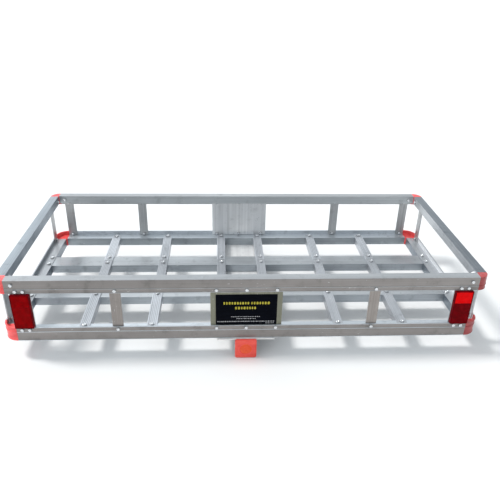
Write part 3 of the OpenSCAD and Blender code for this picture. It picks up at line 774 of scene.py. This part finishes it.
# ---------------------------------------- reflectors
def lens_patch(bm, x0, x1, z0, z1, back, base, columns, rows, height, material):
    """Slab whose front is a field of little pyramids, from back to base with points beyond."""
    xs = [x0 + (x1 - x0) * i / columns for i in range(columns + 1)]
    zs = [z0 + (z1 - z0) * j / rows for j in range(rows + 1)]
    grid = [[bm.verts.new((x, base, z)) for z in zs] for x in xs]
    cells = []
    for i in range(columns):
        for j in range(rows):
            cells.append(bm.faces.new((grid[i][j], grid[i + 1][j], grid[i + 1][j + 1],
                                       grid[i][j + 1])))
    border = ([(i, 0) for i in range(columns)] + [(columns, j) for j in range(rows)]
              + [(i, rows) for i in range(columns, 0, -1)] + [(0, j) for j in range(rows, 0, -1)])
    rim = [grid[i][j] for i, j in border]
    foot = [bm.verts.new((v.co.x, back, v.co.z)) for v in rim]
    for i in range(len(rim)):
        j = (i + 1) % len(rim)
        bm.faces.new((rim[i], rim[j], foot[j], foot[i])).material_index = material
    bm.faces.new(foot).material_index = material
    made = bmesh.ops.poke(bm, faces=cells)
    for vert in made["verts"]:
        vert.co.y -= height
    for face in made["faces"]:
        face.material_index = material


def lens_ribs(bm, x0, x1, z0, z1, back, base, rows, height, material):
    """Slab whose front is a stack of sawtooth ribs that run across."""
    outline = [Vector((back, z1)), Vector((back, z0))]
    pitch = (z1 - z0) / rows
    for j in range(rows):
        outline += [Vector((base, z0 + j * pitch)), Vector((base - height, z0 + (j + 0.72) * pitch))]
    outline.append(Vector((base, z1)))
    extrude(bm, outline, x0, x1, lengthwise, 0, material=material)


def reflector(side, upper, lower):
    """Moulded reflector: a rounded shell, a rim, and a prismatic lens in two fields."""
    node = f"reflector_{side}"
    lo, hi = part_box(node)
    bm = bmesh.new()
    outline = box_outline(lo, hi, "XZ", 3 * MM, 5)
    steps = [(hi.y, 0.4 * MM), (hi.y - 0.4 * MM, 0.0), (lo.y + 1.4 * MM, 0.0),
             (lo.y + 0.6 * MM, 0.2 * MM), (lo.y + 0.2 * MM, 0.6 * MM), (lo.y, 1.2 * MM),
             (lo.y, LENS_RIM - 0.3 * MM), (lo.y + 0.3 * MM, LENS_RIM),
             (lo.y + LENS_SINK, LENS_RIM + 0.1 * MM)]
    solid(bm, [[Vector((p.x, y, p.y)) for p in inset(outline, d)] for y, d in steps])
    frame_w = LENS_RIM + 0.5 * MM
    x0, x1 = lo.x + frame_w, hi.x - frame_w
    z0, z1 = lo.z + frame_w, hi.z - frame_w
    split = z1 - (z1 - z0) * UPPER_LENS_SHARE
    pocket = lo.y + LENS_SINK
    back = pocket + 0.1 * MM
    lens_patch(bm, x0, x1, split + LENS_GAP, z1, back, pocket - 0.45 * MM, PRISM_COLUMNS,
               PRISM_ROWS, PRISM_H, 1)
    lens_ribs(bm, x0, x1, z0, split - LENS_GAP, back, pocket - 0.3 * MM, LENS_RIBS, LENS_RIB_H, 2)
    finish_piece(f"{node}_moulding", bm, [lens_shell, upper, lower], "reflector_red", node,
                 smooth=20)


# ---------------------------------------- hitch parts
def carve(piece, cutters):
    """Cuts the closed meshes in cutters out of the piece, and keeps the result as its mesh."""
    tools = []
    for i, bm in enumerate(cutters):
        mesh = bpy.data.meshes.new(f"cutter_{i}")
        bmesh.ops.recalc_face_normals(bm, faces=bm.faces)
        bm.to_mesh(mesh)
        bm.free()
        tool = bpy.data.objects.new(f"cutter_{i}", mesh)
        bpy.context.scene.collection.objects.link(tool)
        cut = piece.modifiers.new("cut", "BOOLEAN")
        cut.object = tool
        cut.solver = "EXACT"
        tools.append(tool)
    bpy.context.view_layer.update()
    result = bpy.data.meshes.new_from_object(
        piece.evaluated_get(bpy.context.evaluated_depsgraph_get()))
    piece.modifiers.clear()
    old = piece.data
    name = old.name
    piece.data = result
    bpy.data.meshes.remove(old)
    result.name = name
    for tool in tools:
        mesh = tool.data
        bpy.data.objects.remove(tool)
        bpy.data.meshes.remove(mesh)


def rod(axis, centre, radius, length):
    """Closed round rod about a centre, along an axis, in a new mesh."""
    bm = bmesh.new()
    rings = []
    for s in (-length / 2, length / 2):
        ring = []
        for k in range(BORE_SIDES):
            a = 2 * math.pi * k / BORE_SIDES
            c, d = radius * math.cos(a), radius * math.sin(a)
            ring.append(Vector(centre) + Vector((s, c, d) if axis == "X" else (c, d, s)))
        rings.append(ring)
    solid(bm, rings)
    return bm


def hitch_tube():
    lo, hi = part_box("hitch_tube")
    bm = bmesh.new()
    outline = box_outline(lo, hi, "XZ", 3.5 * MM, 5)
    hollow = box_outline(lo, hi, "XZ", 1.5 * MM, wall=TUBE_WALL)
    extrude(bm, outline, lo.y, hi.y, across, 0.7 * MM, [hollow])
    tube = finish_piece("hitch_tube_section", bm, [tube_y], "hitch_tube_aluminium", "hitch_tube")
    tube.modifiers.clear()
    cutters = [rod("X", (0, 0, 0), PIN_BORE / 2, 2 * (hi.x - lo.x))]
    for i in (-1, 0, 1):
        cutters.append(rod("Z", (0, MID_Y + i * HITCH_BOLT_PITCH, lo.z), ACCESS_BORE / 2,
                           2 * TUBE_WALL))
    carve(tube, cutters)
    ease = tube.modifiers.new("eased_holes", "BEVEL")
    ease.width = 0.5 * MM
    ease.segments = 2
    ease.limit_method = "ANGLE"
    ease.angle_limit = math.radians(60)
    even = tube.modifiers.new("even_normals", "WEIGHTED_NORMAL")
    even.keep_sharp = True


def hitch_mount_plate():
    lo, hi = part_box("hitch_mount_plate")
    bm = bmesh.new()
    extrude(bm, box_outline(lo, hi, "XY", 4 * MM, 4), lo.z, hi.z,
            lambda u, v, s: Vector((u, v, s)), 0.7 * MM, steps=3)
    finish_piece("hitch_mount_plate_sheet", bm, [mount_y], "mount_plate_aluminium",
                 "hitch_mount_plate")


def square_reach(angle, half, r):
    """Distance from the centre to a rounded square's edge, at an angle."""
    c, s = abs(math.cos(angle)), abs(math.sin(angle))
    flat = half - r
    if c >= s and half * s / c <= flat:
        return half / c
    if s > c and half * c / s <= flat:
        return half / s
    along_diagonal = flat * (c + s)
    return along_diagonal + math.sqrt(max(0.0, r * r - flat * flat * (c - s) ** 2))


def hitch_tube_cap():
    """End cap: rounded face, a raised ring round a shallow dish, and a hollow plug."""
    lo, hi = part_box("hitch_tube_cap")
    tube_lo, tube_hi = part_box("hitch_tube")
    centre = Vector(((lo.x + hi.x) / 2, 0, (lo.z + hi.z) / 2))
    half = (hi.x - lo.x) / 2

    def ring(y, size, r):
        """A rounded square of half size `size`. It is a circle where r equals size."""
        out = []
        for k in range(CAP_SIDES):
            a = 2 * math.pi * (k + 0.5) / CAP_SIDES
            reach = square_reach(a, size, r)
            out.append(centre + Vector((reach * math.cos(a), y, reach * math.sin(a))))
        return out

    face = lo.y + 0.7 * MM
    back = tube_lo.y
    bm = bmesh.new()
    rings = [ring(back, half - 0.8 * MM, 4.5 * MM), ring(back - 0.3 * MM, half - 0.2 * MM, 5 * MM),
             ring(back - 0.8 * MM, half, 5 * MM)]
    for k in range(5):
        a = math.pi / 2 * k / 4
        rings.append(ring(face + CAP_EDGE * (1 - math.sin(a)),
                          half - CAP_EDGE * (1 - math.cos(a)), 5 * MM))
    for size, y in CAP_RING:
        rings.append(ring(face + y * MM, size * MM, size * MM))
    first, rim = skin(bm, rings)
    close(bm, first)
    rings = [[v.co.copy() for v in rim]]
    for size, y in CAP_DISH:
        rings.append(ring(face + y * MM, size * MM, size * MM))
    _, middle = skin(bm, rings, 1)
    close(bm, middle, material=1)
    hole = TUBE_WALL + TONGUE_GAP
    plug = box_outline(tube_lo, tube_hi, "XZ", 2 * MM, wall=hole)
    hollow = box_outline(tube_lo, tube_hi, "XZ", MM, wall=hole + CAP_WALL)
    extrude(bm, plug, back, hi.y, across, 0.6 * MM, [hollow])
    finish_piece("hitch_tube_cap_moulding", bm, [red_cap, orange_cap], "cap_plastic",
                 "hitch_tube_cap")


# ---------------------------------------- fasteners
def hex_ring(reach, flats, z, spin):
    """Ring at height z: a hexagon of that size across flats, cut to a circle of that reach."""
    out = []
    for k in range(HEAD_SIDES):
        a = 2 * math.pi * k / HEAD_SIDES
        edge = flats / 2 / math.cos((a + math.pi / 6) % (math.pi / 3) - math.pi / 6)
        size = min(edge, reach)
        out.append((size * math.cos(a + spin), size * math.sin(a + spin), z))
    return out


def stack(bm, matrix, rings, material=0):
    solid(bm, [[matrix @ Vector(p) for p in ring] for ring in rings], material)


def circle(r, z, sides=HEAD_SIDES):
    return [(r * math.cos(2 * math.pi * k / sides), r * math.sin(2 * math.pi * k / sides), z)
            for k in range(sides)]


def hex_head(bm, matrix, flats, height):
    """Hexagon head that rises from z = 0 to -z: a washer face in painted shade, then a dished,
    chamfered top.
    """
    spin = rng.uniform(0, math.pi / 3)
    corner_reach = flats / 2 / math.cos(math.pi / 6)
    flange = corner_reach * 1.12
    t = 0.2 * height
    stack(bm, matrix, [
        circle(flange - 0.1 * MM, 0), circle(flange, -0.35 * t), circle(flange, -0.8 * t),
        circle(flange - 0.25 * MM, -t)], 1)
    stack(bm, matrix, [
        hex_ring(corner_reach, flats, -0.9 * t, spin),
        hex_ring(corner_reach, flats, -height * 0.82, spin),
        hex_ring(flats * 0.535, flats, -height * 0.92, spin),
        hex_ring(flats * 0.47, flats, -height, spin),
        hex_ring(flats * 0.33, flats, -height, spin),
        hex_ring(flats * 0.28, flats, -height * 0.9, spin),
        hex_ring(flats * 0.08, flats, -height * 0.88, spin)])


def nut(bm, matrix, flats, z0, height):
    """Chamfered nut between z0 and z0 + height."""
    spin = rng.uniform(0, math.pi / 3)
    corner_reach = flats / 2 / math.cos(math.pi / 6)
    bore = flats * 0.30
    # the washer face takes the darker zinc: painted shade
    stack(bm, matrix, [
        circle(corner_reach * 1.08, z0), circle(corner_reach * 1.08, z0 + 0.14 * height)], 1)
    stack(bm, matrix, [
        hex_ring(corner_reach, flats, z0 + 0.1 * height, spin),
        hex_ring(corner_reach, flats, z0 + 0.82 * height, spin),
        hex_ring(flats * 0.535, flats, z0 + 0.93 * height, spin),
        hex_ring(flats * 0.47, flats, z0 + height, spin),
        circle(bore, z0 + height), circle(bore - 0.2 * MM, z0 + 0.93 * height)])


def shank(bm, matrix, d, length, thread_from):
    """Round shank with thread turns from thread_from to its chamfered end."""
    pitch = d * 0.16
    rings = [circle(d / 2, 0, SHANK_SIDES), circle(d / 2, thread_from, SHANK_SIDES)]
    z = thread_from
    while z + pitch < length - pitch * 0.5:
        rings.append(circle(d / 2 * 0.88, z + pitch * 0.5, SHANK_SIDES))
        rings.append(circle(d / 2, z + pitch, SHANK_SIDES))
        z += pitch
    rings.append(circle(d / 2 * 0.82, length, SHANK_SIDES))
    stack(bm, matrix, rings)


def bolt(bm, matrix, size, length, nut_at=None):
    """Bolt of one of the M sizes, with a nut at nut_at along it where one is given."""
    d, flats, head, nut_h = size
    thread_from = length * 0.55
    hex_head(bm, matrix, flats, head)
    if nut_at is None:
        shank(bm, matrix, d, length, thread_from)
        return
    shank(bm, matrix, d, length, max(nut_at + nut_h * 0.8, thread_from))
    nut(bm, matrix, flats, nut_at, nut_h)


def facing(direction, position):
    """Matrix that turns +z, a bolt's way in, towards a direction."""
    turn = Vector((0, 0, 1)).rotation_difference(Vector(direction)).to_matrix().to_4x4()
    return Matrix.Translation(position) @ turn


def upright_bolts():
    """(side, place along it) of every pair of bolts through the flanges."""
    out = []
    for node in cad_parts:
        lo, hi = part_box(node)
        x, y = (lo.x + hi.x) / 2, (lo.y + hi.y) / 2
        if node.startswith("upright_"):
            side = node.split("_")[1]
            out.append((side, x if side in LONG_SIDES else y))
        elif node.startswith("reflector_plate"):
            out += [("rear", x - REFLECTOR_BOLT_X), ("rear", x + REFLECTOR_BOLT_X)]
        elif node in ("sign_plate", "front_plate"):
            side = "rear" if node == "sign_plate" else "front"
            out += [(side, x + t * PLATE_BOLT_X) for t in (-1, 0, 1)]
    return sorted(out)


def fastener_piece(kind, bm):
    finish_piece(f"{kind}_bolt_set", bm, [fastener, shade_zinc], "zinc_fastener", f"{kind}_bolts",
                 smooth=32)


def frame_bolts():
    """Through bolts of the uprights, plates and upper corners, and the lower corners' screws."""
    bm = bmesh.new()
    nut_room = M5[3] + BEYOND_NUT["frame"]
    grip = FLANGE_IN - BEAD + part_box("upright_rear_left")[1].y - (REAR + FLANGE_IN)
    for side, s in upright_bolts():
        for z in (LOWER_BOLT_Z, UPPER_BOLT_Z):
            matrix = facing(INWARDS[side], on_side(side)(BEAD, z, s))
            bolt(bm, matrix, M5, grip + nut_room, grip)
    through = UPPER_W - BEAD
    for side in INWARDS:
        a, b = (LEFT, RIGHT) if side in LONG_SIDES else (REAR, FRONT)
        half, middle = (b - a) / 2, (a + b) / 2
        for sign in (-1, 1):
            s = middle + sign * (half - UPPER_R - CORNER_BOLT_IN)
            matrix = facing(INWARDS[side], on_side(side)(BEAD, TOP - UPPER_W / 2, s))
            bolt(bm, matrix, M5, through + nut_room, through)
            s = middle + sign * (half - LOWER_R - CORNER_BOLT_IN)
            matrix = facing((0, 0, 1), on_side(side)(LOWER_W / 2, BOTTOM, s))
            bolt(bm, matrix, M5, SCREW_LENGTH["corner"])
    fastener_piece("frame", bm)


def slat_bolt_places(lines):
    """Where the bolts through the slats of these lines go in, at the slats' tops."""
    out = []
    for node in sorted(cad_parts):
        if node.startswith("slat_") and node.split("_")[2][1] in lines:
            lo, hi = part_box(node)
            near, far = (tab - DECK_BOLT_IN for tab in slat_tabs(node.split("_")[1]))
            for y in (lo.y + near, hi.y - far):
                out.append(Vector(((lo.x + hi.x) / 2, y, hi.z)))
    return out


def deck_bolts():
    """Screws of the outer slats and of the beam ends."""
    bm = bmesh.new()
    for place in slat_bolt_places("23"):
        bolt(bm, facing(DOWN, place), M6, SCREW_LENGTH["slat"])
    for end in ("rear", "front"):
        lo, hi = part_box(f"deck_beam_{end}")
        for sign, edge in ((-1, LEFT + LOWER_W), (1, RIGHT - LOWER_W)):
            for t in (-1, 1):
                place = Vector((edge + sign * DECK_BOLT_IN, (lo.y + hi.y) / 2 + t * BEAM_SCREW_Y,
                                DECK))
                bolt(bm, facing(DOWN, place), M6, SCREW_LENGTH["beam"])
    fastener_piece("deck", bm)


def hitch_plate_bolts():
    """Bolts through the central slats and the mounting plate, and the hitch tube's own."""
    bm = bmesh.new()
    plate_lo, plate_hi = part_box("hitch_mount_plate")
    for place in slat_bolt_places("1"):
        grip = place.z - plate_lo.z
        bolt(bm, facing(DOWN, place), M6, grip + M6[3] + BEYOND_NUT["slat"], grip)
    grip = plate_hi.z - plate_lo.z + TUBE_WALL
    for i in (-1, 0, 1):
        place = Vector((0, MID_Y + i * HITCH_BOLT_PITCH, plate_hi.z))
        bolt(bm, facing(DOWN, place), M10, grip + M10[3] + BEYOND_NUT["tube"], grip)
    fastener_piece("hitch_plate", bm)


# ---------------------------------------- the whole object
def build():
    for side in ("rear", "front", "left", "right"):
        for level in ("upper", "lower"):
            rail(level, side)
    for level in ("upper", "lower"):
        for end in ("rear", "front"):
            for side in ("left", "right"):
                corner(level, end, side)
    for end in ("rear", "front"):
        deck_beam(end)
    for bay in ("rear", "mid", "front"):
        for line in ("l3", "l2", "l1", "r1", "r2", "r3"):
            slat(bay, line)
    for node in sorted(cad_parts):
        if node.startswith("upright_"):
            upright(node)
    for side in ("left", "right"):
        reflector_plate(side)
    # the left reflector gets one even, darker red; the right one a lit upper field and a shaded lower
    # one: painted light and shade
    reflector("left", painted_shade_even_lens, painted_shade_even_lens)
    reflector("right", lens_bright, lens_dark)
    sign_plate()
    sign_label()
    front_plate()
    hitch_mount_plate()
    hitch_tube()
    hitch_tube_cap()
    frame_bolts()
    deck_bolts()
    hitch_plate_bolts()
    # these blocks are hidden inside the beams and rails, so the CAD shape stays
    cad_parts["beam_end_tongues"].data.materials[0] = tongue_x


# ---------------------------------------- floor, light and camera
FLOOR_HALF = 40.0
HORIZON = (0.16, 0.145, 0.135)
ZENITH = (0.90, 0.96, 1.0)
WALL = (1.0, 1.0, 1.0)
HORIZON_FROM, HORIZON_TO = -0.10, 0.50
SIDE_LIFT, FAR_LIFT = 0.25, 0.30
SKY_LEFT, SKY_RIGHT, SKY_TURN = 1.30, 0.70, 0.35
KEY_DIRECTION = (0.80, -0.12, -1.15)
KEY_STRENGTH = 2.25
KEY_SPREAD = 12
KEY_COLOUR = (1.0, 0.99, 0.97)
LENS = 39.80
CAMERA_PLACE = (-0.06941, -1.96052, 0.90431)
CAMERA_TURN = (62.4937, -1.2688, -2.9531)


def floor():
    g = Graph(bpy.data.materials.new("pale_floor"))
    cloud = g.noise((1.5, 1.5, 1.5), 3)
    grain = g.noise((300, 300, 300), 2, 0.5, 2.0)
    colour = g.mix(g.between(cloud, 0.35, 0.65), (0.76, 0.76, 0.76), (0.78, 0.78, 0.78))
    material = g.surface(Base_Color=colour, Roughness=0.8, Normal=g.bump(grain, 0.05, 0.0005))
    mesh = bpy.data.meshes.new("floor")
    z = cad_box[0].z
    corners = [(x * FLOOR_HALF, y * FLOOR_HALF, z) for x, y in ((-1, -1), (1, -1), (1, 1), (-1, 1))]
    mesh.from_pydata(corners, [], [(0, 1, 2, 3)])
    mesh.materials.append(material)
    ground = bpy.data.objects.new("floor", mesh)
    bpy.context.scene.collection.objects.link(ground)


def key_light():
    lamp = bpy.data.lights.new("key", "SUN")
    lamp.energy = KEY_STRENGTH
    lamp.angle = math.radians(KEY_SPREAD)
    lamp.color = KEY_COLOUR
    ob = bpy.data.objects.new("key", lamp)
    ob.rotation_euler = Vector(KEY_DIRECTION).to_track_quat("-Z", "Y").to_euler()
    bpy.context.scene.collection.objects.link(ob)


def studio():
    """Cool soft light from above, stronger on the left, over a dim warm horizon.

    The camera itself sees a plain pale wall behind the floor.
    """
    world = bpy.data.worlds.new("studio")
    bpy.context.scene.world = world
    g = Graph(world, "Generated")
    x, y, z = g.node("ShaderNodeSeparateXYZ", Vector=g.place).outputs
    sideways = g.math("MULTIPLY", g.math("ABSOLUTE", x), SIDE_LIFT)
    forward = g.math("MULTIPLY", y, FAR_LIFT)
    height = g.math("ADD", z, g.math("ADD", sideways, forward))
    ramp = g.node("ShaderNodeMapRange", {"interpolation_type": "SMOOTHSTEP"}, Value=height,
                  From_Min=HORIZON_FROM, From_Max=HORIZON_TO).outputs[0]
    sky = g.node("ShaderNodeBackground", Color=g.mix(ramp, HORIZON, ZENITH),
                 Strength=g.between(x, -SKY_TURN, SKY_TURN, SKY_LEFT, SKY_RIGHT))
    wall = g.node("ShaderNodeBackground", Color=WALL)
    either = g.node("ShaderNodeMixShader")
    g.feed(either.inputs[0], g.node("ShaderNodeLightPath").outputs["Is Camera Ray"])
    g.feed(either.inputs[1], sky.outputs[0])
    g.feed(either.inputs[2], wall.outputs[0])
    g.node("ShaderNodeOutputWorld", Surface=either.outputs[0])
    key_light()


def camera():
    data = bpy.data.cameras.new("camera")
    data.lens = LENS
    data.sensor_width = 36.0
    ob = bpy.data.objects.new("camera", data)
    ob.location = CAMERA_PLACE
    ob.rotation_euler = Euler([math.radians(a) for a in CAMERA_TURN], "XYZ")
    bpy.context.scene.collection.objects.link(ob)
    bpy.context.scene.camera = ob


build()
floor()
studio()
camera()
bpy.context.scene.view_settings.view_transform = "Standard"
